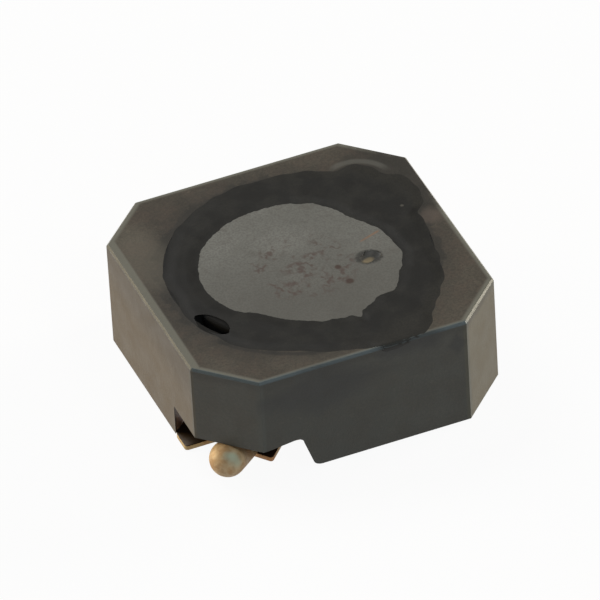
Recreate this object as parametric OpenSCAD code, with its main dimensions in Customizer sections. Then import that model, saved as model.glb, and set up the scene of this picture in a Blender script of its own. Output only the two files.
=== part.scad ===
// Shielded surface-mount power inductor: a wound ferrite drum inside a square ferrite ring.
// Millimetres, +Z up. The origin is on the board plane, under the centre of the ring.

/* [Shield ring] */
// Width of the ring across opposite flat sides
ring_w = 12; // [11.4:0.1:16]
// Height of the ring
ring_h = 4.5; // [3.6:0.1:8]
// Leg of the flat that cuts each corner, along a side
corner_cut = 1.92; // [1.5:0.02:2.4]
// Diameter of the round bore that holds the drum
bore_d = 10; // [8:0.1:10.4]
// Width of the bevel round the top outer edge
edge_bevel = 0.06; // [0.04:0.01:0.5]
// Width of the bevel round the lower mouth of the bore
mouth_bevel = 0.15; // [0.05:0.05:0.3]
// Height of the ring's underside above the board
ring_lift = 0.12; // [0.05:0.01:0.2]

/* [Corner channels] */
// Width of a corner channel at its ceiling
channel_w = 5.3; // [4.2:0.1:6]
// How far the middle of the ceiling lies from the middle of the corner, towards the wing
channel_shift = 0.17; // [0:0.01:0.3]
// How much further out the wall on the prong's side stands at the underside
channel_draft = 0.3; // [0.1:0.02:0.5]
// Distance from the middle of the corner to where the ceiling starts to rise, on the prong's side
channel_level = 1.5; // [1:0.1:1.8]
// How much higher the ceiling is at the wall on the prong's side than over the lead
channel_arch = 0.13; // [0.02:0.01:0.2]
// Free height between a lead and the channel's ceiling
channel_gap = 0.04; // [0.03:0.01:0.3]

/* [Drum] */
// Radial gap between the drum's flanges and the bore
flange_gap = 0.4; // [0.2:0.05:0.8]
// Thickness of the top flange
top_flange_t = 0.95; // [0.6:0.05:1.4]
// Thickness of the bottom flange
bottom_flange_t = 0.7; // [0.5:0.05:1]
// Diameter of the post between the flanges
post_d = 5.2; // [3:0.1:6.4]
// Bevel on the outer edges of the drum
drum_bevel = 0.12; // [0.05:0.01:0.2]
// Depth of the shallow step round the top flange, where the resin lies
rim_step = 0.04; // [0.02:0.01:0.1]

/* [Winding] */
// Diameter of the enamelled wire
wire_d = 0.4; // [0.2:0.02:0.6]
// Diameter of a lead, where the wire is stripped of its enamel
lead_d = 0.36; // [0.18:0.02:0.56]
// Clearance between the coil and the drum
coil_clear = 0.03; // [0.02:0.01:0.1]
// Least distance from the coil's outside to the edge of the flanges
coil_setback = 0.3; // [0.1:0.05:0.8]

/* [Terminals] */
// Thickness of the terminal sheet
sheet_t = 0.2; // [0.1:0.01:0.25]
// Thickness of the epoxy between a terminal and the bottom flange
glue_t = 0.05; // [0.05:0.01:0.2]
// Width of the land that is soldered to the board
land_w = 3.2; // [2.4:0.1:3.8]
// How far the land reaches in under the bottom flange
land_lap = 2.2; // [1.2:0.1:3]
// How far inside the edge of the flange the land's parallel sides end
land_setback = 0.2; // [0:0.05:0.6]
// Margin of the epoxy inside the edges of the land
glue_margin = 0.2; // [0.1:0.05:0.5]
// Side clearance between the wing of a terminal and the channel's wall
wing_clear = 0.04; // [0.03:0.01:0.4]
// How far the corner of the wing stays back from the flat of the ring's corner
wing_recess = 0.76; // [0.6:0.02:1.2]
// Length of each straight edge at the corner of the wing
wing_edge = 0.93; // [0.4:0.01:1]
// How far the prong stays back from the flat of the ring's corner
prong_recess = 1.19; // [0.9:0.01:1.4]
// Width of the prong
prong_w = 1; // [0.4:0.05:1.2]
// Distance from the middle of the terminal to the outer side of the prong
prong_side = 1.15; // [0.9:0.05:1.4]
// Depth of the fork between the wing and the prong
fork_depth = 0.9; // [0.5:0.05:1.1]

/* [Solder] */
// Free height above and below the solder ball, to the ceiling and to the board
ball_clear = 0.02; // [0.01:0.01:0.1]
// How far the middle of the ball stays back from the flat of the ring's corner
ball_recess = 0.08; // [0:0.02:0.4]
// Sideways shift of the ball, towards the wing
ball_shift = 0.13; // [0:0.01:0.3]
// Sideways shift of a lead where it crosses the edge of the flange, towards the wing
lead_shift = 0.35; // [0.1:0.05:0.6]
// Diameter of the solder neck where it meets the prong
neck_d = 0.32; // [0.2:0.02:0.4]

/* [Resin] */
// Depth of the resin in the gap round the top flange
resin_depth = 0.8; // [0.4:0.05:0.9]
// Thickness of the resin that lies on the two ferrites
film_t = 0.04; // [0.02:0.01:0.1]
// How far the resin lies in over the top flange, which is the width of the shallow step
film_in = 1; // [0.4:0.05:1.6]
// How far the resin lies out over the ring
film_out = 0.1; // [0.05:0.05:0.5]
// Diameter of the patch of resin that ran to the right edge
run_side_d = 2.6; // [1:0.1:3.4]
// Diameter of the patch of resin that ran to the front edge
run_front_d = 2; // [1:0.1:2.4]
// Width of the pit where the gap stayed open
pit_w = 0.7; // [0.3:0.05:0.8]
// Length of the pit round the gap
pit_l = 1.6; // [1:0.1:2.4]
// Depth of the pit
pit_depth = 0.5; // [0.2:0.05:0.7]

/* [Hidden] */
$fn = 96;
eps = 0.01;
CORNERS = [225, 45]; // directions of the two corners that hold a terminal

ring_top = ring_lift + ring_h;
bore_r = bore_d / 2;
flat_dist = (ring_w - corner_cut) / sqrt(2); // centre of the ring to the flat of a corner
far = ring_w; // longer than anything in the ring

drum_base = sheet_t + glue_t;
flange_r = bore_r - flange_gap;
window_base = drum_base + bottom_flange_t;
window_top = ring_top - top_flange_t;
face_r = flange_r - film_in; // bare flat middle of the top flange
rim_top = ring_top - rim_step;

coil_in = post_d / 2 + coil_clear;
coil_base = window_base + coil_clear;
coil_layers = floor((flange_r - coil_setback - coil_in) / wire_d);
coil_turns = floor((window_top - coil_clear - coil_base) / wire_d);
coil_mid = coil_in + (coil_layers - 0.5) * wire_d; // radius of the outermost turns
lead_z = coil_base + wire_d / 2;

channel_top = lead_z + wire_d / 2 + channel_gap;
channel_wing = channel_w / 2 + channel_shift; // middle of the corner to the upright wall
channel_prong = channel_w / 2 - channel_shift;

// A terminal is drawn along +X, with the wing on the -Y side and the prong on the +Y side.
land_in = flange_r - land_lap;
land_out = flange_r - land_setback;
flare = 0.5; // length in which the land widens to the wing
wing_y = -(channel_wing - wing_clear);
wing_x = flat_dist - wing_recess;
wing_step = wing_edge / sqrt(2);
wing_back = 0.77; // how far the inner edge of the wing runs back to the fork
prong_x = flat_dist - prong_recess;
prong_lean = 0.12; // how far the inner corner of the prong's tip lies back
prong_root = 0.4; // length in which the land narrows to the prong
prong_taper = 0.05; // how much wider the prong is at its tip
fork_x = prong_x - fork_depth;
fork_wing = 0.5; // middle of the ball to the fork's wall at the wing
fork_prong = 0.25; // inner side of the prong to the fork's wall beside it

ball_d = channel_top - 2 * ball_clear;
ball_at = [flat_dist - ball_recess, -ball_shift, channel_top / 2];
neck_in = 0.7; // tip of the prong to the middle of the neck, in neck diameters
neck_side = 0.6; // inner side of the prong to the middle of the neck, in neck diameters
neck_at = [prong_x - neck_in * neck_d, prong_side - prong_w + neck_side * neck_d, sheet_t + neck_d / 4];

// A lead leaves the lowest outer turn along its tangent, steps over the flange and enters the ball.
lead_root = coil_mid - wire_d / 2;
lead_angle = 30; // turn from the middle of the terminal back to where the lead leaves the coil
lead_run = 1.6; // length that holds to the tangent
lead_over = 1; // length that lies level outside the flange
lead_start = lead_root * [cos(lead_angle), -sin(lead_angle)];
lead_drop = lead_z - ball_at[2];
lead_bends = [
    lead_start,
    lead_start + lead_run * [sin(lead_angle), cos(lead_angle)],
    [flange_r, -lead_shift],
    [flange_r + lead_over, -ball_shift],
    [ball_at[0], -ball_shift]
];
lead_rings = 20;
lead_sides = 8;

pit_angle = 205.6; // directions from the middle, turning from +X towards +Y
run_side_angle = 25;
run_front_angle = -70;

// A square with its four corners cut off; inset moves every side inwards.
module octagon(inset = 0) {
    intersection() {
        square(ring_w - 2 * inset, center = true);
        rotate(45) square(2 * (flat_dist - inset), center = true);
    }
}

// Places a piece that is drawn along +X at one of the terminal corners.
module at_corner(i) {
    rotate([0, 0, CORNERS[i]]) children();
}

module channel_profile() {
    below = ring_lift - eps;
    polygon([
        [-channel_wing, below],
        [channel_prong + channel_draft, below],
        [channel_prong, channel_top + channel_arch],
        [channel_level, channel_top],
        [-channel_wing, channel_top]
    ]);
}

module edge_bevels() {
    side = edge_bevel * sqrt(2);
    for (k = [0:7]) {
        reach = k % 2 == 0 ? ring_w / 2 : flat_dist;
        rotate([0, 0, 45 * k]) translate([reach, 0, ring_top]) rotate([0, 45, 0])
            cube([side, far, side], center = true);
    }
}

module ring_core() {
    color([0.36, 0.33, 0.29])
    difference() {
        translate([0, 0, ring_lift]) linear_extrude(ring_h) octagon();
        cylinder(h = ring_top + 1, r = bore_r);
        translate([0, 0, ring_lift]) cylinder(h = mouth_bevel, r1 = bore_r + mouth_bevel, r2 = bore_r);
        edge_bevels();
        for (i = [0, 1]) {
            at_corner(i) rotate([90, 0, 90]) linear_extrude(far) channel_profile();
        }
    }
}

module drum_core() {
    color([0.4, 0.4, 0.38])
    rotate_extrude() polygon([
        [0, drum_base],
        [flange_r - drum_bevel, drum_base],
        [flange_r, drum_base + drum_bevel],
        [flange_r, window_base],
        [post_d / 2, window_base],
        [post_d / 2, window_top],
        [flange_r, window_top],
        [flange_r, rim_top - drum_bevel],
        [flange_r - drum_bevel, rim_top],
        [face_r, rim_top],
        [face_r, ring_top],
        [0, ring_top]
    ]);
}

function curve(points, t) = len(points) == 1
    ? points[0]
    : curve([for (i = [1:len(points) - 1]) points[i - 1] * (1 - t) + points[i] * t], t);

function ease(x) = let(c = min(max(x, 0), 1)) c * c * (3 - 2 * c);

// The middle of the lead at t from 0 to 1: level over the flange, then down to the ball.
function lead_point(t) =
    let(p = curve(lead_bends, t))
    let(fallen = ease((p[0] - flange_r - lead_d / 2) / (flat_dist - lead_over - flange_r)))
    [p[0], p[1], lead_z - lead_drop * fallen];

function lead_ring(t) =
    let(ahead = lead_point(t + eps) - lead_point(t - eps))
    let(side = cross(ahead, [0, 0, 1]) / norm(cross(ahead, [0, 0, 1])))
    let(up = cross(side, ahead) / norm(ahead))
    [for (k = [0:lead_sides - 1])
        lead_point(t) + lead_d / 2 * (cos(360 * k / lead_sides) * side + sin(360 * k / lead_sides) * up)];

module lead() {
    rings = [for (i = [0:lead_rings]) each lead_ring(i / lead_rings)];
    walls = [for (i = [0:lead_rings - 1], k = [0:lead_sides - 1])
        let(here = i * lead_sides, next = (k + 1) % lead_sides)
        each [
            [here + k, here + next, here + lead_sides + next],
            [here + k, here + lead_sides + next, here + lead_sides + k]
        ]];
    start = [for (k = [lead_sides - 1:-1:0]) k];
    end = [for (k = [0:lead_sides - 1]) lead_rings * lead_sides + k];
    polyhedron(rings, concat([start], walls, [end]), convexity = 4);
}

module winding() {
    color([0.62, 0.3, 0.14])
    union() {
        rotate_extrude() {
            translate([coil_in, coil_base]) square([coil_mid - coil_in, coil_turns * wire_d]);
            for (k = [0:coil_turns - 1]) {
                translate([coil_mid, lead_z + k * wire_d]) circle(d = wire_d, $fn = 32);
            }
        }
        for (i = [0, 1]) {
            at_corner(i) lead();
        }
    }
}

module terminal_outline() {
    polygon([
        [land_in, -land_w / 2],
        [land_out, -land_w / 2],
        [land_out + flare, wing_y],
        [wing_x - wing_step, wing_y],
        [wing_x, wing_y + wing_step],
        [wing_x - wing_back, wing_y + wing_step + wing_back],
        [fork_x, -ball_shift - fork_wing],
        [fork_x, prong_side - prong_w - fork_prong],
        [prong_x - prong_lean, prong_side - prong_w],
        [prong_x, prong_side],
        [land_out + prong_root, prong_side - prong_taper],
        [land_out, land_w / 2],
        [land_in, land_w / 2]
    ]);
}

module terminal(i) {
    color([0.68, 0.6, 0.42]) at_corner(i) linear_extrude(sheet_t) terminal_outline();
}

module solder(i) {
    color([0.66, 0.6, 0.48])
    at_corner(i) difference() {
        hull() {
            translate(ball_at) sphere(d = ball_d, $fn = 32);
            translate(neck_at) sphere(d = neck_d, $fn = 32);
        }
        translate([0, 0, -1]) linear_extrude(sheet_t + 1) terminal_outline();
        lead();
    }
}

module glue(i) {
    color([0.2, 0.2, 0.19])
    at_corner(i) translate([land_in + glue_margin, -land_w / 2 + glue_margin, sheet_t])
        cube([land_out - land_in - 2 * glue_margin, land_w - 2 * glue_margin, glue_t]);
}

module resin_film() {
    intersection() {
        difference() {
            union() {
                circle(r = bore_r + film_out);
                rotate(run_side_angle) translate([bore_r, 0]) circle(d = run_side_d);
                rotate(run_front_angle) translate([bore_r, 0]) circle(d = run_front_d);
            }
            circle(r = face_r);
        }
        octagon(edge_bevel);
    }
}

module resin_fill() {
    color([0.19, 0.19, 0.18])
    difference() {
        union() {
            translate([0, 0, ring_top]) linear_extrude(film_t) resin_film();
            translate([0, 0, ring_top - resin_depth]) cylinder(h = resin_depth, r = bore_r);
        }
        drum_core();
        translate([0, 0, -far]) cylinder(h = far + rim_top, r = flange_r - drum_bevel);
        rotate([0, 0, pit_angle]) translate([bore_r - flange_gap / 2, 0, ring_top - pit_depth])
            linear_extrude(pit_depth + 1) {
                square([pit_w, pit_l - pit_w], center = true);
                for (side = [-1, 1]) {
                    translate([0, side * (pit_l - pit_w) / 2]) circle(d = pit_w);
                }
            }
    }
}

ring_core();
drum_core();
winding();
terminal(0);  // terminal_front
terminal(1);  // terminal_rear
solder(0);  // solder_front
solder(1);  // solder_rear
resin_fill();
glue(0);  // glue_front
glue(1);  // glue_rear
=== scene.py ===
import math

import bpy
from mathutils import Matrix, Vector, noise


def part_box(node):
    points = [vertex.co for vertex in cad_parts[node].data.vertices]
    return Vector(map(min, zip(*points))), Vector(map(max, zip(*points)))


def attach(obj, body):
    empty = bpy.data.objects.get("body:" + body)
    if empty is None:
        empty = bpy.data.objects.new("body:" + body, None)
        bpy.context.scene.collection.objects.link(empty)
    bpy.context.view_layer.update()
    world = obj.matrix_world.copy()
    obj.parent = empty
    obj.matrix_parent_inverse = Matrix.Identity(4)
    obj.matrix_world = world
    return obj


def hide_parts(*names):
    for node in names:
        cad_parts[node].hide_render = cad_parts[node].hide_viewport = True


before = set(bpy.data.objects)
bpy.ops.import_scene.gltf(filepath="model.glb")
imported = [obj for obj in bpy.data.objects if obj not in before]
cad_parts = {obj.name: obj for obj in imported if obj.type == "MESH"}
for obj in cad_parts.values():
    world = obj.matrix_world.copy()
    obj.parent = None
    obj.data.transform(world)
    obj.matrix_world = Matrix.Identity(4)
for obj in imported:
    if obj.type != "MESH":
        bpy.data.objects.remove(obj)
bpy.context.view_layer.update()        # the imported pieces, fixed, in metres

# Shielded surface-mount inductor. Pieces are modelled in millimetres and brought to metres when finished.
# +Z is up, the board plane is Z = 0, and the terminals lie at the -X -Y and the +X +Y corners.

MM = 0.001
CORNERS = {"front": math.radians(225), "rear": math.radians(45)}


def node_box(name):
    """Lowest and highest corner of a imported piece, in millimetres."""
    low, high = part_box(name)
    return Vector(low) / MM, Vector(high) / MM


ring_low, ring_high = node_box("ring_core")
drum_low, drum_high = node_box("drum_core")
sheet_high = node_box("terminal_front")[1]

# Shield ring
RING_W = ring_high.x - ring_low.x
HALF_W = RING_W / 2
RING_BASE = ring_low.z
RING_TOP = ring_high.z
CORNER_CUT = 1.92
FLAT_SUM = RING_W - CORNER_CUT           # the size of x plus that of y, all over a corner's flat face
FLAT_DIST = FLAT_SUM / math.sqrt(2)      # the part's axis to that face
TOP_BEVEL = 0.07
EDGE_ROUND = 0.06
CHANNEL_WING = 2.79                      # middle of a corner to the upright wall of its channel
CHANNEL_PRONG = 2.48                     # and to the leaning wall, at the ceiling
CHANNEL_DRAFT = 0.3
CHANNEL_LEVEL = 1.5                      # middle of a corner to where the ceiling starts to rise
CHANNEL_ARCH = 0.13
CHANNEL_ROUND = 0.2                      # rounding of the leaning wall, above and below

# Drum
FLANGE_R = drum_high.x
TOP_GAP = 0.4
BORE_R = FLANGE_R + TOP_GAP
DRUM_BASE = drum_low.z
BOTTOM_FLANGE_T = 0.7
TOP_FLANGE_T = 0.95
POST_R = 2.6
DRUM_ROUND = 0.1
CHIP_AT = (2.4, -0.88)
CHIP_SIZE = (0.46, 0.36, 0.14)
WINDOW_BASE = DRUM_BASE + BOTTOM_FLANGE_T
WINDOW_TOP = RING_TOP - TOP_FLANGE_T

# Winding
WIRE_D = 0.4
LEAD_D = 0.36
COIL_CLEAR = 0.03
LAYERS = 4
TURNS = 5
LEAVE_TURN = math.radians(30)            # from a corner back to where its lead leaves the coil
LEAD_Z = WINDOW_BASE + COIL_CLEAR + WIRE_D / 2
COIL_IN = POST_R + COIL_CLEAR + WIRE_D / 2
COIL_OUT = COIL_IN + (LAYERS - 1) * WIRE_D
CHANNEL_CLEAR = 0.04
CHANNEL_TOP = LEAD_Z + WIRE_D / 2 + CHANNEL_CLEAR

# Terminals and solder, with places given for a corner that points along +X
SHEET_T = sheet_high.z
SHEET_ROUND = 0.14
SHEET_SOFT = 0.025
BALL_R = (CHANNEL_TOP - CHANNEL_CLEAR) / 2
BALL_AT = Vector((FLAT_DIST - 0.08, -0.13, CHANNEL_TOP / 2))
NECK_R = 0.16
NECK_AT = Vector((FLAT_DIST - 1.42, 0.36, SHEET_T + 0.04))

# Resin
FILM = 0.03
FILM_SLOPE = 0.5                         # how far in from its edge the film reaches its full height
PLUG_T = 0.8
PIT_R = 4.74
PIT_TURN = math.radians(205.6)
PIT_AT = (PIT_R * math.cos(PIT_TURN), PIT_R * math.sin(PIT_TURN))
PIT_SIZE = (0.42, 0.82, 0.68)
STAIN = 0.06                             # how far the colour of the pit and the chip reaches past them

WELD = 0.0005                            # points closer than this are one
ROUND_SIDES = 128

# Camera and light
CAMERA_AT = Vector((-108.573, -289.424, 246.134))
CAMERA_TARGET = Vector((0.3113, 0.9989, 2))
CAMERA_ROLL = math.radians(-3.5155)
LENS = 642.2
SENSOR = 36
LAMP_TARGET = Vector((0, 0, 2))
WORLD_LIGHT = 0.12
FLOOR_W = 3000
FLOOR_DROP = 0.01


# ---------------------------------------------------------------- modelling helpers

def deselect():
    bpy.ops.object.select_all(action="DESELECT")


def choose(piece):
    """Makes one piece the only selected and active object."""
    deselect()
    piece.select_set(True)
    bpy.context.view_layer.objects.active = piece


def newest(name):
    piece = bpy.context.object
    piece.name = name
    piece.data.name = name
    return piece


def settle(piece):
    """Applies the object's own place, turn and scale to its mesh."""
    choose(piece)
    bpy.ops.object.transform_apply(location=True, rotation=True, scale=True)
    return piece


def block(name, low, high):
    deselect()
    centre = [(a + b) / 2 for a, b in zip(low, high)]
    bpy.ops.mesh.primitive_cube_add(size=1, location=centre)
    piece = newest(name)
    piece.scale = [b - a for a, b in zip(low, high)]
    return settle(piece)


def disc(name, radius, low, high):
    deselect()
    bpy.ops.mesh.primitive_cylinder_add(
        vertices=ROUND_SIDES, radius=radius, depth=high - low, location=(0, 0, (low + high) / 2))
    return settle(newest(name))


def pebble(name, at, size, seed, rough):
    """An uneven lump, used as a cutter for pits and chips."""
    deselect()
    bpy.ops.mesh.primitive_ico_sphere_add(subdivisions=3, radius=1, location=(0, 0, 0))
    piece = newest(name)
    for vertex in piece.data.vertices:
        swell = noise.noise(vertex.co * 1.4 + Vector((seed * 7.3, 0, 0)))
        vertex.co *= 1 + rough * swell
    piece.scale = size
    piece.location = at
    return settle(piece)


def mark(piece, kind, test):
    """Enters edit mode with exactly the edges or faces that pass the test selected."""
    choose(piece)
    bpy.ops.object.mode_set(mode="EDIT")
    bpy.ops.mesh.select_mode(type=kind)
    bpy.ops.mesh.select_all(action="DESELECT")
    bpy.ops.object.mode_set(mode="OBJECT")
    mesh = piece.data
    if kind == "FACE":
        for face in mesh.polygons:
            face.select = test(face.center, face.normal)
    else:
        for edge in mesh.edges:
            a, b = (mesh.vertices[i].co for i in edge.vertices)
            edge.select = test(a, b)
    bpy.ops.object.mode_set(mode="EDIT")


def mark_all(piece):
    mark(piece, "FACE", lambda centre, normal: True)


def done_editing():
    bpy.ops.object.mode_set(mode="OBJECT")


def bevel(piece, width, segments, test, clamp=False):
    """Bevels the edges whose two ends pass the test."""
    mark(piece, "EDGE", test)
    bpy.ops.mesh.bevel(offset=width, segments=segments, affect="EDGES", clamp_overlap=clamp)
    done_editing()


def divide(piece, point, normal):
    """Adds edges all round a piece, where a plane passes through it."""
    mark_all(piece)
    bpy.ops.mesh.bisect(plane_co=point, plane_no=normal)
    done_editing()


def modify(piece, kind, **settings):
    """Adds one modifier and applies it at once."""
    choose(piece)
    modifier = piece.modifiers.new(kind.lower(), kind)
    for key, value in settings.items():
        setattr(modifier, key, value)
    bpy.ops.object.modifier_apply(modifier=modifier.name)


def cut(piece, cutter):
    modify(piece, "BOOLEAN", operation="DIFFERENCE", object=cutter, solver="EXACT")
    bpy.data.objects.remove(cutter)


def merge(pieces):
    """Joins pieces into the first one."""
    deselect()
    for piece in pieces:
        piece.select_set(True)
    bpy.context.view_layer.objects.active = pieces[0]
    bpy.ops.object.join()
    return pieces[0]


def turn(piece, angle):
    """Turns a piece about the upright axis through the origin."""
    piece.data.transform(Matrix.Rotation(angle, 4, "Z"))
    return piece


def soften(piece, width, segments, angle):
    """Rounds every edge sharper than the angle."""
    modify(piece, "BEVEL", width=width, segments=segments, limit_method="ANGLE",
           angle_limit=math.radians(angle), harden_normals=False)


def smooth(piece, angle):
    choose(piece)
    bpy.ops.object.shade_smooth_by_angle(angle=math.radians(angle))


def ready(piece, finish, node):
    """Brings a finished piece to metres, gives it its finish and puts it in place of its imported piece."""
    piece.data.transform(Matrix.Scale(MM, 4))
    piece.data.materials.clear()
    piece.data.materials.append(finish)
    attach(piece, "root")
    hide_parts(node)


# ---------------------------------------------------------------- shader helpers

class Value:
    """A node's output socket that can be used in arithmetic."""

    def __init__(self, shader, socket):
        self.shader = shader
        self.socket = socket

    def _math(self, operation, *others):
        return self.shader.math(operation, self, *others)

    def __add__(self, other):
        return self._math("ADD", other)

    def __mul__(self, other):
        return self._math("MULTIPLY", other)

    def __sub__(self, other):
        return self._math("SUBTRACT", other)

    def __truediv__(self, other):
        return self._math("DIVIDE", other)

    def __rsub__(self, other):
        return self.shader.math("SUBTRACT", other, self)

    __radd__ = __add__
    __rmul__ = __mul__

    def power(self, exponent):
        return self._math("POWER", exponent)

    def max(self, other):
        return self._math("MAXIMUM", other)

    def abs(self):
        return self._math("ABSOLUTE")

    def step(self, low, high):
        """0 at low and beyond it, 1 at high and beyond it, smooth between; low may be the larger."""
        out = (0, 1)
        if low > high:
            low, high, out = high, low, (1, 0)
        settings = {"interpolation_type": "SMOOTHSTEP"}
        sockets = {"Value": self, "From Min": low, "From Max": high, "To Min": out[0], "To Max": out[1]}
        return self.shader.add("ShaderNodeMapRange", settings, sockets, "Result")


class Shader:
    """One material, with sizes in millimetres on the piece's own coordinates."""

    def __init__(self, name):
        self.material = bpy.data.materials.new(name)
        self.material.use_nodes = True
        self.tree = self.material.node_tree
        self.surface = self.tree.nodes["Principled BSDF"]
        place = self.add("ShaderNodeTexCoord", output="Object")
        self.place = self.add(
            "ShaderNodeVectorMath", {"operation": "SCALE"}, {0: place, "Scale": 1 / MM}, "Vector")
        self.x, self.y, self.z = (
            self.add("ShaderNodeSeparateXYZ", {}, {0: self.place}, axis) for axis in "XYZ")

    def add(self, kind, settings=None, sockets=None, output=0):
        """Adds any node: settings are its own options, sockets its inputs by name or number."""
        node = self.tree.nodes.new(kind)
        for key, value in (settings or {}).items():
            setattr(node, key, value)
        for key, value in (sockets or {}).items():
            self.feed(node.inputs[key], value)
        return Value(self, node.outputs[output])

    def feed(self, socket, value):
        """Links a value to a socket, or sets the socket to a constant."""
        if isinstance(value, Value):
            self.tree.links.new(value.socket, socket)
        else:
            socket.default_value = value

    def math(self, operation, *values):
        return self.add("ShaderNodeMath", {"operation": operation}, dict(enumerate(values)))

    def noise(self, size, detail, rough, stretch=(1, 1, 1), shift=0.0):
        """Noise from 0 to 1 whose features are about size millimetres across."""
        spot = self.add("ShaderNodeMapping", {"vector_type": "POINT"}, {
            "Vector": self.place, "Location": (shift, shift * 0.7, -shift), "Scale": stretch}, "Vector")
        return self.add("ShaderNodeTexNoise", {}, {
            "Vector": spot, "Scale": 1 / size, "Detail": detail, "Roughness": rough}, "Fac")

    def mix(self, amount, low, high):
        """Mixes two colours."""
        return self.add("ShaderNodeMix", {"data_type": "RGBA"}, {"Factor": amount, 6: low, 7: high}, 2)

    def radius(self, x=0.0, y=0.0, wide=1.0, tall=1.0, lean=0.0):
        """Distance from an upright line, or from an oval when wide and tall differ."""
        c, s = math.cos(lean), math.sin(lean)
        across = ((self.x - x) * c + (self.y - y) * s) / wide
        along = ((self.y - y) * c - (self.x - x) * s) / tall
        return (across * across + along * along).power(0.5)

    def bearing(self):
        """Angle round the upright axis, in degrees from -180 to 180."""
        return self.math("ARCTAN2", self.y, self.x) * math.degrees(1)

    def finish(self, color, roughness, height, depth, metallic=0.0, ior=1.5, coat=0.0):
        """Connects the surface. Depth is the height in millimetres of a full step of the bump."""
        bump = self.add("ShaderNodeBump", {}, {"Height": height, "Distance": depth * MM}, "Normal")
        parts = {"Base Color": color, "Roughness": roughness, "Metallic": metallic, "IOR": ior,
                 "Coat Weight": coat, "Coat Roughness": 0.2, "Normal": bump}
        for name, value in parts.items():
            self.feed(self.surface.inputs[name], value)
        return self.material


def tone(red, green, blue):
    """A colour given as it looks on a screen, from 0 to 255, in the linear form that shaders use."""
    def linear(part):
        part /= 255
        return part / 12.92 if part <= 0.04045 else ((part + 0.055) / 1.055) ** 2.4
    return (linear(red), linear(green), linear(blue), 1)


# ---------------------------------------------------------------- finishes

def upper(s):
    """1 near the top of the part, and 0 lower down."""
    return s.z.step(3.2, 3.6)


def oval(s, at, size, lean):
    """Distance from the middle of a pit or chip, as a share of its stain's half width."""
    return s.radius(*at, size[0] + STAIN, size[1] + STAIN, lean)


def coated(s, base, gap):
    """Resin over the ferrite along the gap, with painted shade, almost black, in the pit: the colour, and
    where it lies.
    """
    pit = pit_mask(s)
    covered = gap.max(pit)
    base = s.mix(covered, base, tone(14, 14, 13))
    # Painted shade: the pit is painted almost black.
    return s.mix(pit, base, tone(4, 4, 4)), covered


def pit_mask(s):
    """1 over the deep pit in the resin, where the ferrite beside it is also coated."""
    return oval(s, PIT_AT, PIT_SIZE, PIT_TURN).step(1.05, 0.92) * upper(s)


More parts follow.
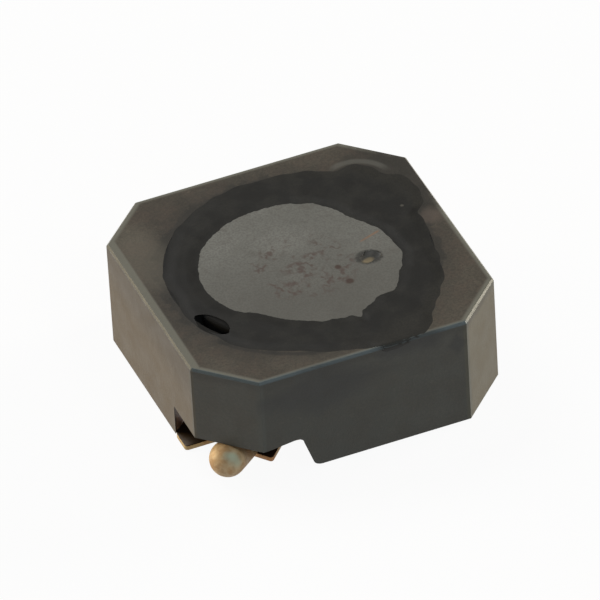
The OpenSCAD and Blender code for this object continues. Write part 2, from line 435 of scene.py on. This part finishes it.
def ring_finish():
    """Fired ferrite: brownish grey, darker where resin soaked in, with painted highlights along its top edges
    and painted light on its sides and channel walls.
    """
    s = Shader("ring_ferrite")
    broad = s.noise(2.6, 3, 0.55, shift=3.1)
    cloud = s.noise(0.8, 5, 0.62, shift=9.4)
    grain = s.noise(0.1, 3, 0.7)
    speck = s.noise(0.3, 4, 0.75, shift=5.7)
    base = s.mix(broad.step(0.38, 0.62), tone(69, 63, 54), tone(82, 76, 66))
    base = s.mix(cloud.step(0.42, 0.62) * 0.45, base, tone(80, 67, 57))
    base = s.mix(speck.step(0.56, 0.76) * 0.5, base, tone(102, 95, 82))
    base = s.mix(grain.step(0.4, 0.64) * 0.5, base, tone(54, 50, 44))
    top = s.z.step(RING_TOP - 0.03, RING_TOP - 0.005)
    ragged = s.radius() + (cloud - 0.5) * 1.1 + (speck - 0.5) * 0.5
    halo = (ragged.step(5.6, 5.15) * 0.75).max(ragged.step(6.4, 5.2) * 0.4) * top
    # The resin soaked in furthest to the back and the right and least at the left, and missed one patch.
    run = (s.radius(5.0, 2.9, 1.0, 1.4) + (cloud - 0.5) * 1.6).step(2.4, 1.0) * top
    clear = s.radius(-5.0, 2.6, 1.0, 2.2).step(1.2, 0.5) * top
    patch = (s.radius(5.45, 0.35) + (cloud - 0.5) * 0.9).step(0.6, 0.2) * top
    base = s.mix(halo, base, tone(38, 37, 34))
    base = s.mix(run * 0.75, base, tone(42, 41, 37))
    base = s.mix(patch * 0.5, base, tone(98, 86, 78))
    base = s.mix(clear * 0.3, base, tone(114, 108, 96))
    # Painted highlight: a pale crescent just past the resin, at the back corner.
    crescent = (s.radius(3.75, 3.38) - 1.33).abs().step(0.2, 0.06) * top
    crescent = crescent * s.y.step(3.5, 4.1) * s.x.step(3.0, 3.5)
    base = s.mix(crescent * 0.5, base, tone(100, 99, 93))
    # A thin dark rim of dried resin at the near left.
    bearing = s.bearing()
    rim = (s.radius() + (speck - 0.5) * 0.25 - 5.42).abs().step(0.16, 0.03)
    rim = rim * bearing.step(-150, -143) * bearing.step(-98, -108) * top
    base = s.mix(rim * 0.65, base, tone(34, 33, 30))
    # Painted light: the left face is painted browner, the right corner yellower and the front greyer, for how
    # the light falls on each.
    left = (s.x + HALF_W).step(0.1, 0.03)
    right = (s.x - s.y - FLAT_SUM).step(-0.18, -0.08)
    front = (s.y + HALF_W).step(0.2, 0.05)
    corner = (s.x + s.y + FLAT_SUM).step(0.18, 0.08)
    gray = front.max(corner)
    base = s.mix(left * 0.5, base, tone(116, 97, 58))
    base = s.mix(right * 0.5, base, tone(106, 98, 72))
    base = s.mix(front * 0.5, base, tone(72, 76, 70))
    base = s.mix(corner * 0.5, base, tone(84, 86, 79))
    # The sides are darker just under the top edge, the left one far down.
    under = (s.z + (cloud - 0.5) * 0.4).step(RING_TOP - 0.5, RING_TOP - 0.15) * (1 - top)
    under = (under * 0.4).max(left * (s.z + (cloud - 0.5) * 1.5).step(2.4, 4.0) * 0.3)
    base = s.mix(under, base, tone(38, 36, 30))
    # Painted highlights along the top edges, widest at the left and bluish at the front.
    square = s.x.abs().max(s.y.abs())
    far = (square / HALF_W).max((s.x.abs() + s.y.abs()) / FLAT_SUM)
    edge_highlight = far.step(0.958, 0.98).max((s.x + HALF_W).step(0.4, 0.3))
    edge_highlight = edge_highlight * s.z.step(RING_TOP - 0.12, RING_TOP - 0.07) * speck.step(0.15, 0.4)
    pale = s.mix(gray, tone(112, 111, 101), tone(86, 97, 101))
    pale = s.mix(left, pale, tone(98, 99, 95))
    base = s.mix(edge_highlight * (1 - run) * 0.85, base, pale)
    # Darker patches on the front face, and darker where resin ran over its top edge.
    dark_patch = ((s.x - 3.68).abs() * 1.3 + (s.z - 3.75).abs() + (cloud - 0.5) * 0.8).step(0.75, 0.3)
    shade = ((s.x + 1.7).abs() * 0.4 + (s.z - 3.6).abs() + (cloud - 0.5) * 1.2).step(1.7, 0.5)
    wetted = (s.x - 1.8).abs().step(1.6, 0.9) * (s.z + (cloud - 0.5) * 0.8).step(3.6, 4.3)
    base = s.mix(front * (dark_patch * 0.6).max(shade * 0.7).max(wetted * 0.7), base, tone(40, 40, 38))
    # Painted light: the upright walls of the channels are painted a pale brown, as if lit inside.
    wall = ((s.x - s.y).abs() - CHANNEL_WING * math.sqrt(2)).abs().step(0.03, 0.01)
    wall = wall * wing_side(s).step(0.5, 1.0) * s.z.step(1.5, 1.4) * (square - HALF_W).step(-0.04, -0.1)
    base = s.mix(wall, base, tone(176, 148, 128))
    base, covered = coated(s, base, (s.radius() - BORE_R).step(0.02, -0.01) * upper(s))
    rough = 0.48 + (cloud - 0.5) * 0.25 + covered * 0.5
    height = grain * 0.6 + speck * 0.8
    return s.finish(base, rough, height, depth=0.009, ior=1.45)


def wing_side(s):
    """Above 0 on the wing's side of both terminal corners, and below 0 on the prong's side."""
    return (s.x - s.y) * (s.x + s.y)


def drum_finish():
    """Ground ferrite: even grey, with worn reddish flecks of ink, brown dots and a chip."""
    s = Shader("drum_ferrite")
    broad = s.noise(2.2, 3, 0.5, shift=1.7)
    cloud = s.noise(0.55, 5, 0.65, shift=4.2)
    grain = s.noise(0.08, 3, 0.7)
    base = s.mix(broad.step(0.35, 0.65), tone(107, 107, 102), tone(117, 117, 112))
    base = s.mix(cloud.step(0.48, 0.7) * 0.4, base, tone(88, 84, 78))
    base = s.mix(grain.step(0.4, 0.62) * 0.55, base, tone(86, 84, 80))
    base = s.mix((s.y + s.x * 0.2 + (cloud - 0.5) * 1.5).step(1.5, -3.0) * 0.6, base, tone(82, 80, 75))
    # Rubbed remains of ink: scattered flecks that make no signs.
    top = upper(s)
    fleck = (s.noise(0.55, 2, 0.5, stretch=(1, 0.8, 1), shift=12.3) - 0.5).abs().step(0.08, 0.0)
    broken = s.noise(0.3, 2, 0.5, shift=3.3).step(0.38, 0.6)
    fade = s.noise(1.1, 2, 0.5, shift=7.9).step(0.36, 0.52)
    field = s.radius(0, -0.4, 2.1, 2.0).step(1.1, 0.75) * top
    base = s.mix(fleck * broken * fade * field * 0.8, base, tone(78, 62, 57))
    for x, y, size in ((1.15, -0.93, 0.12), (1.22, -1.89, 0.15)):
        dot = (s.radius(x, y) + (grain - 0.5) * 0.1).step(size * 1.4, size * 0.6)
        base = s.mix(dot * top * 0.8, base, tone(60, 38, 28))
    # The chip: a dark rim round a paler floor.
    chip = oval(s, CHIP_AT, CHIP_SIZE, math.radians(-15)) + (cloud - 0.5) * 0.9 + (grain - 0.5) * 0.6
    base = s.mix(chip.step(1.15, 0.8) * top * 0.9, base, tone(48, 47, 44))
    floor = s.radius(2.32, -1.0, 0.26, 0.16, math.radians(20)) + (cloud - 0.5) * 1.2
    base = s.mix(floor.step(1.3, 0.5) * top * 0.8, base, tone(124, 112, 88))
    scratch = ((s.y - 0.25 - (s.x - 2.9) * 0.35).abs() + (cloud - 0.5) * 0.1).step(0.07, 0.02)
    scratch = scratch * (s.x - 2.9).abs().step(0.5, 0.35) * top
    base = s.mix(scratch * 0.6, base, tone(134, 100, 74))
    base, covered = coated(s, base, (s.radius() - FLANGE_R).step(-0.06, -0.02) * top)
    height = grain * 0.5 + cloud * 0.5
    return s.finish(base, 0.55 + covered * 0.45, height, depth=0.005, ior=1.45)


def resin_finish():
    """Dark epoxy, half gloss."""
    s = Shader("resin")
    cloud = s.noise(0.8, 4, 0.6, shift=2.4)
    grain = s.noise(0.07, 3, 0.7)
    base = s.mix(cloud.step(0.4, 0.65), tone(27, 26, 23), tone(36, 35, 31))
    # Thin over the ring's top, so the ferrite shows through a little.
    base = s.mix((s.radius() + (cloud - 0.5) * 0.8).step(4.9, 5.6) * 0.5, base, tone(46, 44, 38))
    base = s.mix(grain.step(0.4, 0.62) * 0.5, base, tone(21, 21, 19))
    # One pale speck at the right, and a darker left side.
    speck = s.radius(4.69, 1.38).step(0.09, 0.04)
    base = s.mix(speck * 0.5, base, tone(104, 100, 92))
    base = s.mix(s.x.step(-2.8, -4.2) * 0.5, base, tone(21, 20, 18))
    # Painted shade: blacker wherever it lies below the ring's top, except on the front face, and in the pit.
    sunk_shade = s.z.step(RING_TOP - 0.01, RING_TOP - 0.05) * s.y.step(-5.5, -5.3)
    sunk_shade = sunk_shade.max(pit_mask(s) * s.z.step(RING_TOP, RING_TOP - 0.03))
    base = s.mix(sunk_shade, base, tone(5, 5, 5))
    height = grain * 0.4 + cloud * 0.8
    rough = 0.5 + (cloud - 0.5) * 0.2 + sunk_shade * 0.5
    return s.finish(base, rough, height, depth=0.007, ior=1.4)


def terminal_finish():
    """Tinned brass sheet, with painted shade on top: a dark brown."""
    s = Shader("terminal_metal")
    cloud = s.noise(0.5, 4, 0.6)
    base = s.mix(cloud.step(0.4, 0.65), tone(204, 176, 122), tone(184, 146, 94))
    # The prong is browner than the wing.
    prong = wing_side(s).step(0.5, -0.5) * s.radius().step(5.0, 6.2)
    base = s.mix(prong * 0.6, base, tone(206, 128, 74))
    # Painted shade: the sheet's top is painted a dark brown, for the shade under the ring.
    top = s.z.step(SHEET_T - 0.02, SHEET_T - 0.002)
    brown = s.mix(cloud.step(0.35, 0.65), tone(50, 34, 25), tone(34, 25, 20))
    base = s.mix(top * 0.95, base, brown)
    return s.finish(base, 0.5 + (cloud - 0.5) * 0.2, cloud, depth=0.006, metallic=0.25)


def solder_finish():
    """Dull solder under a film of brown flux, with a painted greyish green highlight in the middle."""
    s = Shader("solder_metal")
    cloud = s.noise(0.45, 4, 0.6, shift=6.1)
    flux = s.noise(0.25, 3, 0.5, shift=2.2)
    base = s.mix(cloud.step(0.38, 0.62), tone(224, 194, 150), tone(208, 166, 118))
    base = s.mix(flux.step(0.5, 0.7) * 0.35, base, tone(170, 124, 80))
    # Painted highlight: a pale greenish spot on the side that faces outwards.
    for side in (-1, 1):
        spot = s.radius(side * 5.08, side * 5.42, 0.3, 0.13, math.radians(-28)) + (cloud - 0.5) * 0.8
        painted_glint = spot.step(1.7, 0.3) * s.z.step(0.6, 0.95)
        base = s.mix(painted_glint * 0.8, base, tone(204, 212, 186))
    return s.finish(base, 0.58 + (cloud - 0.5) * 0.25, cloud, depth=0.012, metallic=0.15)


def wire_finish():
    """Copper under clear enamel."""
    s = Shader("copper_wire")
    cloud = s.noise(0.6, 3, 0.5)
    base = s.mix(cloud.step(0.4, 0.6), tone(168, 88, 42), tone(142, 66, 30))
    return s.finish(base, 0.3, cloud, depth=0.003, metallic=0.8, coat=0.6)


def glue_finish():
    """Brown epoxy."""
    s = Shader("terminal_glue")
    cloud = s.noise(0.3, 3, 0.5)
    base = s.mix(cloud.step(0.4, 0.6), tone(66, 58, 48), tone(52, 46, 38))
    return s.finish(base, 0.45, cloud, depth=0.01)


# ---------------------------------------------------------------- pieces

def channel_cutter(angle):
    """The slot that runs out through a corner of the ring: one wall upright, the other leaning."""
    low = RING_BASE - 0.5
    cutter = block("channel", (0.5, -CHANNEL_WING, low), (RING_W, CHANNEL_PRONG, CHANNEL_TOP))
    divide(cutter, (0, CHANNEL_LEVEL, 0), (0, 1, 0))
    bevel(cutter, CHANNEL_ROUND, 6,
          lambda a, b: min(a.y, b.y) > CHANNEL_PRONG - 0.01 and min(a.z, b.z) > RING_BASE)
    # The ceiling rises towards the leaning wall, and that wall's foot moves out.
    peak = CHANNEL_TOP + CHANNEL_ARCH
    lean = CHANNEL_DRAFT * (peak - low) / (peak - RING_BASE)
    for vertex in cutter.data.vertices:
        if vertex.co.y > CHANNEL_LEVEL + 0.01:
            vertex.co.z += CHANNEL_ARCH if vertex.co.z > RING_BASE else 0
            vertex.co.y += lean if vertex.co.z < RING_BASE else 0
    return turn(cutter, angle)


def shield_ring():
    """Eight-sided ring with a round bore and a channel under two corners."""
    ring = block("shield_ring", (-HALF_W, -HALF_W, RING_BASE), (HALF_W, HALF_W, RING_TOP))
    bevel(ring, CORNER_CUT, 1, lambda a, b: abs(a.z - b.z) > 1)
    bevel(ring, TOP_BEVEL, 1, lambda a, b: min(a.z, b.z) > RING_TOP - 0.01)
    cut(ring, disc("bore", BORE_R, 0, RING_TOP + 1))
    for angle in CORNERS.values():
        cut(ring, channel_cutter(angle))
    # The foot beside each leaning wall is rounded over.
    foot = CHANNEL_PRONG + CHANNEL_DRAFT
    for angle in CORNERS.values():
        def beside(a, b):
            return max(a.z, b.z) < RING_BASE + 0.01 and all(
                abs(turned(p, -angle).y - foot) < 0.06 and turned(p, -angle).x > 0 for p in (a, b))
        bevel(ring, CHANNEL_ROUND, 6, beside)
    soften(ring, EDGE_ROUND, 3, 24)
    smooth(ring, 30)
    modify(ring, "WEIGHTED_NORMAL", keep_sharp=True)
    ready(ring, ring_finish(), "ring_core")


def bobbin():
    """Two flanges and the post between them, pressed in one, with a chip in the top."""
    drum = disc("bobbin", FLANGE_R, DRUM_BASE, RING_TOP)
    for height in (WINDOW_BASE, WINDOW_TOP):
        divide(drum, (0, 0, height), (0, 0, 1))
    middle = (WINDOW_BASE + WINDOW_TOP) / 2
    mark(drum, "FACE", lambda centre, normal: abs(normal.z) < 0.5 and abs(centre.z - middle) < 0.1)
    bpy.ops.mesh.extrude_region_move(TRANSFORM_OT_translate={"value": (0, 0, 0)})
    shrink = POST_R / FLANGE_R
    bpy.ops.transform.resize(value=(shrink, shrink, 1))
    done_editing()
    soften(drum, DRUM_ROUND, 3, 40)
    cut(drum, pebble("chip", (*CHIP_AT, RING_TOP + 0.06), CHIP_SIZE, 5, 0.6))
    smooth(drum, 35)
    modify(drum, "WEIGHTED_NORMAL", keep_sharp=True)
    ready(drum, drum_finish(), "drum_core")


def coil():
    """Every turn of the winding, as one wire from the rear solder ball to the front one."""
    points = coil_route()
    curve = bpy.data.curves.new("coil", "CURVE")
    curve.dimensions = "3D"
    curve.bevel_depth = LEAD_D / 2
    curve.bevel_resolution = 1
    line = curve.splines.new("POLY")
    line.points.add(len(points) - 1)
    for point, place in zip(line.points, points):
        point.co = (*place, 1)
    wire = bpy.data.objects.new("coil", curve)
    bpy.context.collection.objects.link(wire)
    choose(wire)
    bpy.ops.object.convert(target="MESH")
    wire = newest("coil")
    smooth(wire, 60)
    ready(wire, wire_finish(), "winding")


def ease(x):
    """0 up to 0, 1 from 1 on, and smooth between."""
    x = min(max(x, 0), 1)
    return x * x * (3 - 2 * x)


def coil_route():
    """Points along the wire, in millimetres."""
    per_turn = 48
    lead = lead_route()
    route = [turned(p, CORNERS["rear"]) for p in reversed(lead)]
    # Inwards along the bottom flange, against the way that the lead came.
    start = CORNERS["rear"] - LEAVE_TURN
    for i in range(1, per_turn):
        part = i / per_turn
        angle = start - part * 1.6 * math.pi
        radius = COIL_OUT + (COIL_IN - COIL_OUT) * ease(part)
        route.append(on_turn(radius, angle, LEAD_Z))
    # Layer over layer, up and down by turns.
    level, bottom, top = LEAD_Z, LEAD_Z + WIRE_D, LEAD_Z + TURNS * WIRE_D
    for layer in range(LAYERS):
        radius = COIL_IN + layer * WIRE_D
        old = radius - WIRE_D if layer else radius
        first, last = (top, bottom) if layer % 2 else (bottom, top)
        begin = level
        for i in range(1, TURNS * per_turn + 1):
            part = i / (TURNS * per_turn)
            angle -= 2 * math.pi / per_turn
            moved = ease(part * TURNS * 2)
            level = begin + (first - begin) * moved + (last - first) * part
            route.append(on_turn(old + (radius - old) * moved, angle, level))
    # Round to the front corner, down to the level of the lead.
    sweep = (angle - CORNERS["front"] + LEAVE_TURN) % (2 * math.pi)
    steps = max(8, int(per_turn * sweep / (2 * math.pi)))
    begin = level
    for i in range(1, steps + 1):
        part = i / steps
        route.append(on_turn(COIL_OUT, angle - sweep * part, begin + (LEAD_Z - begin) * ease(part)))
    route += [turned(p, CORNERS["front"]) for p in lead]
    return route


def on_turn(radius, angle, level):
    return Vector((radius * math.cos(angle), radius * math.sin(angle), level))


def turned(point, angle):
    return Matrix.Rotation(angle, 3, "Z") @ point


def lead_route():
    """From the coil's outside to the middle of the solder ball, for a corner on the +X axis."""
    start = Vector((COIL_OUT * math.cos(LEAVE_TURN), -COIL_OUT * math.sin(LEAVE_TURN)))
    ahead = Vector((math.sin(LEAVE_TURN), math.cos(LEAVE_TURN)))
    bends = [start, start + 1.6 * ahead, Vector((FLANGE_R, -0.35)),
             Vector((FLANGE_R + 1, BALL_AT.y)), Vector((BALL_AT.x - 0.3, BALL_AT.y))]
    steps = 23
    route = []
    for i in range(steps + 1):
        row = bends
        while len(row) > 1:
            row = [a.lerp(b, i / steps) for a, b in zip(row, row[1:])]
        spot = row[0]
        fall = ease((spot.x - FLANGE_R - LEAD_D / 2) / (FLAT_DIST - 1 - FLANGE_R))
        route.append(Vector((spot.x, spot.y, LEAD_Z - (LEAD_Z - BALL_AT.z) * fall)))
    return route


def copy_of(node, name):
    """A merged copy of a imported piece, in millimetres."""
    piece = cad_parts[node].copy()
    piece.data = piece.data.copy()
    piece.name = name
    piece.parent = None
    bpy.context.collection.objects.link(piece)
    piece.data.transform(Matrix.Scale(1 / MM, 4))
    mark_all(piece)
    bpy.ops.mesh.remove_doubles(threshold=WELD)
    bpy.ops.mesh.dissolve_limited(angle_limit=math.radians(1))
    done_editing()
    return piece


def terminal(side):
    """Flat sheet under a corner, with the corners of its outer end rounded."""
    sheet = copy_of("terminal_" + side, "terminal_sheet_" + side)

    def outer_corner(a, b):
        return abs(a.z - b.z) > SHEET_T / 2 and min(a.xy.length, b.xy.length) > FLANGE_R + 1

    bevel(sheet, SHEET_ROUND, 4, outer_corner, clamp=True)
    soften(sheet, SHEET_SOFT, 2, 50)
    smooth(sheet, 35)
    ready(sheet, terminal_finish(), "terminal_" + side)


def solder_ball(side):
    """A blob with a neck to the prong, as one skin drawn over two spheres."""
    blob = []
    for name, radius, place in (("solder_ball_" + side, BALL_R, BALL_AT), ("neck", NECK_R, NECK_AT)):
        deselect()
        bpy.ops.mesh.primitive_uv_sphere_add(segments=48, ring_count=32, radius=radius, location=place)
        blob.append(settle(newest(name)))
    ball = merge(blob)
    mark_all(ball)
    bpy.ops.mesh.convex_hull()
    done_editing()
    modify(ball, "REMESH", mode="VOXEL", voxel_size=0.035)
    modify(ball, "SMOOTH", factor=0.6, iterations=8)
    turn(ball, CORNERS[side])
    smooth(ball, 80)
    ready(ball, solder_finish(), "solder_" + side)


# The resin's inner and outer edge, as bearing in degrees and distance from the middle in millimetres.
INNER_EDGE = [
    (0, 3.5), (30, 3.15), (60, 3.45), (90, 3.5), (120, 3.6), (150, 3.7), (180, 3.75), (205, 3.65),
    (222, 3.3), (245, 3.45), (265, 3.7), (277, 3.8), (281, 4.1), (285, 3.8), (298, 3.65), (311, 3.95),
    (325, 3.75), (340, 3.8)]
OUTER_EDGE = [
    (0, 5.05), (8, 5.1), (14, 5.7), (22, 6.05), (30, 6.25), (36, 6.0), (42, 6.15), (47, 6.1),
    (54, 5.5), (62, 5.4), (72, 5.35), (85, 5.15), (100, 5.15), (115, 5.05), (130, 5.05), (150, 4.9),
    (165, 5.05), (180, 4.9), (195, 5.15), (210, 5.15), (222, 5.35), (245, 5.25), (258, 5.45),
    (268, 5.65), (273, 5.85), (279, 6.3), (286, 6.4), (292, 6.4), (298, 6.2), (304, 5.85), (312, 5.6),
    (322, 5.45), (335, 5.2), (345, 4.95)]


def along(edge, degrees):
    """Distance of an edge at a bearing, eased between its points."""
    degrees %= 360
    closed = [(edge[-1][0] - 360, edge[-1][1]), *edge, (edge[0][0] + 360, edge[0][1])]
    for (a, ra), (b, rb) in zip(closed, closed[1:]):
        if a <= degrees <= b:
            return ra + (rb - ra) * ease((degrees - a) / (b - a))


def drape(x, y, lift):
    """A point that lies above the ring's top, or follows its front bevel and face past the edge."""
    start = TOP_BEVEL - HALF_W
    slope = TOP_BEVEL * math.sqrt(2)
    bend = 0.08
    over = start - y
    if over <= 0:
        return Vector((x, y, RING_TOP + lift))
    lean = math.radians(45) * (ease(over / bend) + ease((over - slope) / bend))
    out = Vector((0, -math.sin(lean), math.cos(lean))) * lift
    step = min(over, slope) / math.sqrt(2)
    fall = max(over - slope, 0)
    return Vector((x, start - step, RING_TOP - step - fall)) + out


def resin():
    """The film on top, with a rim that rounds off, and the resin in the gap below it."""
    around, across = 420, 30
    deselect()
    bpy.ops.mesh.primitive_grid_add(x_subdivisions=around, y_subdivisions=across, size=2)
    film = newest("resin_film")
    # The film ends inside the top bevel, except at the front, where it runs over.
    side_limit = HALF_W - TOP_BEVEL - 0.02
    corner_limit = FLAT_DIST - TOP_BEVEL - 0.02
    for vertex in film.data.vertices:
        bearing = (vertex.co.x + 1) * math.pi
        part = (vertex.co.y + 1) / 2
        degrees = math.degrees(bearing)
        wave = Vector((math.cos(bearing), math.sin(bearing), 0))
        inner = along(INNER_EDGE, degrees) + 0.05 * noise.noise(wave * 9) + 0.03 * noise.noise(wave * 25)
        outer = along(OUTER_EDGE, degrees) + 0.08 * noise.noise(wave * 8 + Vector((5, 0, 0)))
        outer = min(outer, corner_limit * math.sqrt(2) / (abs(wave.x) + abs(wave.y)))
        if wave.y > -0.9:
            outer = min(outer, side_limit / max(abs(wave.x), abs(wave.y)))
        radius = inner + (outer - inner) * part
        edge = min(radius - inner, outer - radius)
        swell = 0.8 + 0.35 * noise.noise(wave * radius * 0.9 + Vector((0, 0, 3)))
        lift = FILM * ease(edge / FILM_SLOPE) * swell
        vertex.co = drape(radius * wave.x, radius * wave.y, lift)
    mark_all(film)
    bpy.ops.mesh.remove_doubles(threshold=WELD)
    done_editing()
    inwards = -1 if film.data.polygons[0].normal.z > 0 else 1
    modify(film, "SOLIDIFY", thickness=FILM, offset=inwards)
    mark_all(film)
    bpy.ops.mesh.normals_make_consistent(inside=False)
    done_editing()
    plug = disc("gap_resin", BORE_R - 0.005, RING_TOP - PLUG_T, RING_TOP - 0.012)
    cut(plug, disc("hole", FLANGE_R + 0.005, 0, RING_TOP + 1))
    for piece in (film, plug):
        pit = pebble("pit", (PIT_R, 0, RING_TOP - 0.05), PIT_SIZE, 2, 0.2)
        cut(piece, turn(pit, PIT_TURN))
    whole = merge([film, plug])
    smooth(whole, 50)
    ready(whole, resin_finish(), "resin_fill")


def glue(side):
    """The pad that holds a terminal to the drum."""
    pad = copy_of("glue_" + side, "glue_pad_" + side)
    ready(pad, glue_finish(), "glue_" + side)


# ---------------------------------------------------------------- studio

def aimed(name, data, place, target, roll=0.0):
    """A camera or lamp that looks from one place at another, turned about its own axis."""
    item = bpy.data.objects.new(name, data)
    bpy.context.collection.objects.link(item)
    place, target = Vector(place), Vector(target)
    facing = (target - place).to_track_quat("-Z", "Y").to_matrix().to_4x4()
    item.matrix_world = Matrix.Translation(place * MM) @ facing @ Matrix.Rotation(roll, 4, "Z")
    return item


def camera():
    """The viewpoint: front left and above, through a long lens."""
    data = bpy.data.cameras.new("camera")
    data.lens = LENS
    data.sensor_width = SENSOR
    data.clip_start, data.clip_end = 0.01, 20
    bpy.context.scene.camera = aimed("camera", data, CAMERA_AT, CAMERA_TARGET, CAMERA_ROLL)


def lamp(name, place, size, power, color=(1, 1, 1)):
    """A round soft lamp, aimed at the part."""
    data = bpy.data.lights.new(name, "AREA")
    data.shape = "DISK"
    data.size = size * MM
    data.energy = power
    data.color = color
    aimed(name, data, place, LAMP_TARGET)


def studio():
    """Floor, four lamps and a little light from all round."""
    scene = bpy.context.scene
    scene.view_settings.view_transform = "Standard"
    world = bpy.data.worlds.new("studio")
    scene.world = world
    world.use_nodes = True
    sky = world.node_tree.nodes["Background"].inputs
    sky["Color"].default_value = (1, 1, 1, 1)
    sky["Strength"].default_value = WORLD_LIGHT
    deselect()
    bpy.ops.mesh.primitive_plane_add(size=FLOOR_W * MM, location=(0, 0, -FLOOR_DROP * MM))
    floor = newest("floor")
    floor.data.materials.append(floor_finish())
    lamp("left", (-280, 220, 60), 140, 0.8, (1, 0.84, 0.56))
    lamp("right", (300, 40, 60), 140, 1.05, (1, 0.92, 0.78))
    lamp("above", (-80, 200, 260), 180, 0.55)
    lamp("near", (83, -186, 221), 100, 0.17, (0.82, 0.95, 1))


def floor_finish():
    """Pale floor that the camera and mirror-like rays see as white, under a soft shadow; clear from below."""
    s = Shader("floor")
    camera_ray = s.add("ShaderNodeLightPath", output="Is Camera Ray")
    glossy_ray = s.add("ShaderNodeLightPath", output="Is Glossy Ray")
    clear_ray = s.add("ShaderNodeLightPath", output="Is Transmission Ray")
    seen = camera_ray.max(glossy_ray).max(clear_ray)
    gray = 0.35 + seen * 0.45
    matt = s.add("ShaderNodeBsdfDiffuse", {}, {"Color": gray})
    glow = s.add("ShaderNodeEmission", {}, {"Color": (1, 1, 1, 1), "Strength": 1})
    lit = s.add("ShaderNodeMixShader", {}, {0: seen * 0.94, 1: matt, 2: glow})
    clear = s.add("ShaderNodeBsdfTransparent")
    below = s.add("ShaderNodeNewGeometry", output="Backfacing")
    whole = s.add("ShaderNodeMixShader", {}, {0: below, 1: lit, 2: clear})
    s.feed(s.tree.nodes["Material Output"].inputs["Surface"], whole)
    return s.material


camera()
studio()
shield_ring()
bobbin()
coil()
for corner in CORNERS:
    terminal(corner)
    solder_ball(corner)
    glue(corner)
resin()
